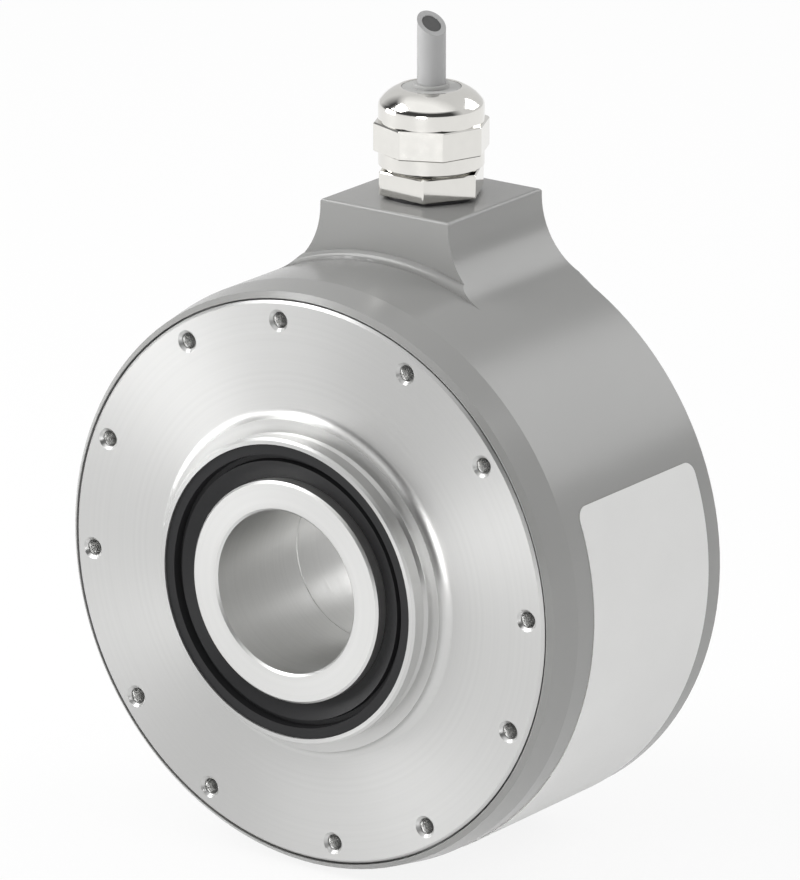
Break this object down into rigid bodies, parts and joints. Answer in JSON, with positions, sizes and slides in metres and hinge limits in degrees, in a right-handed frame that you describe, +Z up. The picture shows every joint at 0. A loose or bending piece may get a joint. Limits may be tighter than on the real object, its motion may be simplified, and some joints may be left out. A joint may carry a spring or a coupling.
{
  "type": "incremental rotary encoder",
  "caption": "Hollow-shaft incremental rotary encoder with a round flanged housing, front shaft seal, rear clamp ring and a cable gland on a saddle.",
  "frame": {"origin": "on the shaft's axis, in the front face of the flange", "axes": "+Y along the shaft from the front to the rear, +Z up through the cable gland"},
  "size_m": [0.0901, 0.0583, 0.1253],
  "materials": {
    "turned_aluminium": "bright turned",
    "grey_paint": "satin light grey paint",
    "shaft_steel": "fine turned stainless steel",
    "steel": "zinc plated",
    "bearing_steel": "ground and polished",
    "cage_brass": "pressed",
    "black_rubber": "matt moulded",
    "black_plastic": "moulded",
    "pale_plastic": "moulded",
    "insert_rubber": "soft moulded",
    "lamp_lens": "clear moulded",
    "disc_glass": "polished",
    "chip_ceramic": "glazed",
    "board_laminate": "lacquered",
    "nickel_brass": "nickel plated brass",
    "cable_grey": "extruded",
    "core_dark": "cut end",
    "wire_plastic": "extruded",
    "label_foil": "matt silver foil"
  },
  "bodies": {
    "case": {"front_flange": "turned_aluminium", "housing": "grey_paint", "flange_gasket": "black_rubber", "flange_posts": "turned_aluminium", "housing_screws": "steel", "front_shaft_seal": "black_rubber", "rear_shaft_seal": "black_rubber", "front_bearing_outer_ring": "bearing_steel", "rear_bearing_outer_ring": "bearing_steel", "bearing_outer_spacer": "steel", "preload_spring": "steel", "bearing_retaining_ring": "steel", "lamp_bracket": "black_plastic", "led_lamp": "lamp_lens", "reticle": "disc_glass", "detector_chip": "chip_ceramic", "detector_carrier": "black_plastic", "sensor_board": "board_laminate", "board_spacers": "black_plastic", "interface_chip": "black_plastic", "cable_connector": "pale_plastic", "gland_washer": "black_rubber", "gland_body": "nickel_brass", "gland_fingers": "pale_plastic", "gland_insert": "insert_rubber", "gland_cap_nut": "nickel_brass", "cable_jacket": "cable_grey", "cable_core": "core_dark", "cable_wires": "wire_plastic", "type_label": "label_foil"},
    "shaft": {"hollow_shaft": "shaft_steel", "clamp_sleeve": "shaft_steel", "clamp_ring": "steel", "clamp_screw": "steel", "front_bearing_inner_ring": "bearing_steel", "rear_bearing_inner_ring": "bearing_steel", "bearing_inner_spacer": "steel", "shaft_retaining_ring": "steel", "disc_hub": "turned_aluminium", "code_disc": "disc_glass", "disc_clamp_plate": "turned_aluminium", "disc_screws": "steel"},
    "front_cage": {"front_bearing_cage": "cage_brass", "front_bearing_balls": "bearing_steel"},
    "rear_cage": {"rear_bearing_cage": "cage_brass", "rear_bearing_balls": "bearing_steel"}
  },
  "joints": [
    {"name": "shaft_spin", "type": "hinge", "parent": "case", "child": "shaft", "pos_m": [0, 0, 0], "axis": [0, 1, 0], "continuous": true},
    {"name": "front_cage_spin", "type": "hinge", "parent": "case", "child": "front_cage", "pos_m": [0, 0.006, 0], "axis": [0, 1, 0], "continuous": true},
    {"name": "rear_cage_spin", "type": "hinge", "parent": "case", "child": "rear_cage", "pos_m": [0, 0.0185, 0], "axis": [0, 1, 0], "continuous": true}
  ],
  "couplings": [
    {"joint": "front_cage_spin", "follows": "shaft_spin", "ratio": 0.45366},
    {"joint": "rear_cage_spin", "follows": "shaft_spin", "ratio": 0.45366}
  ]
}
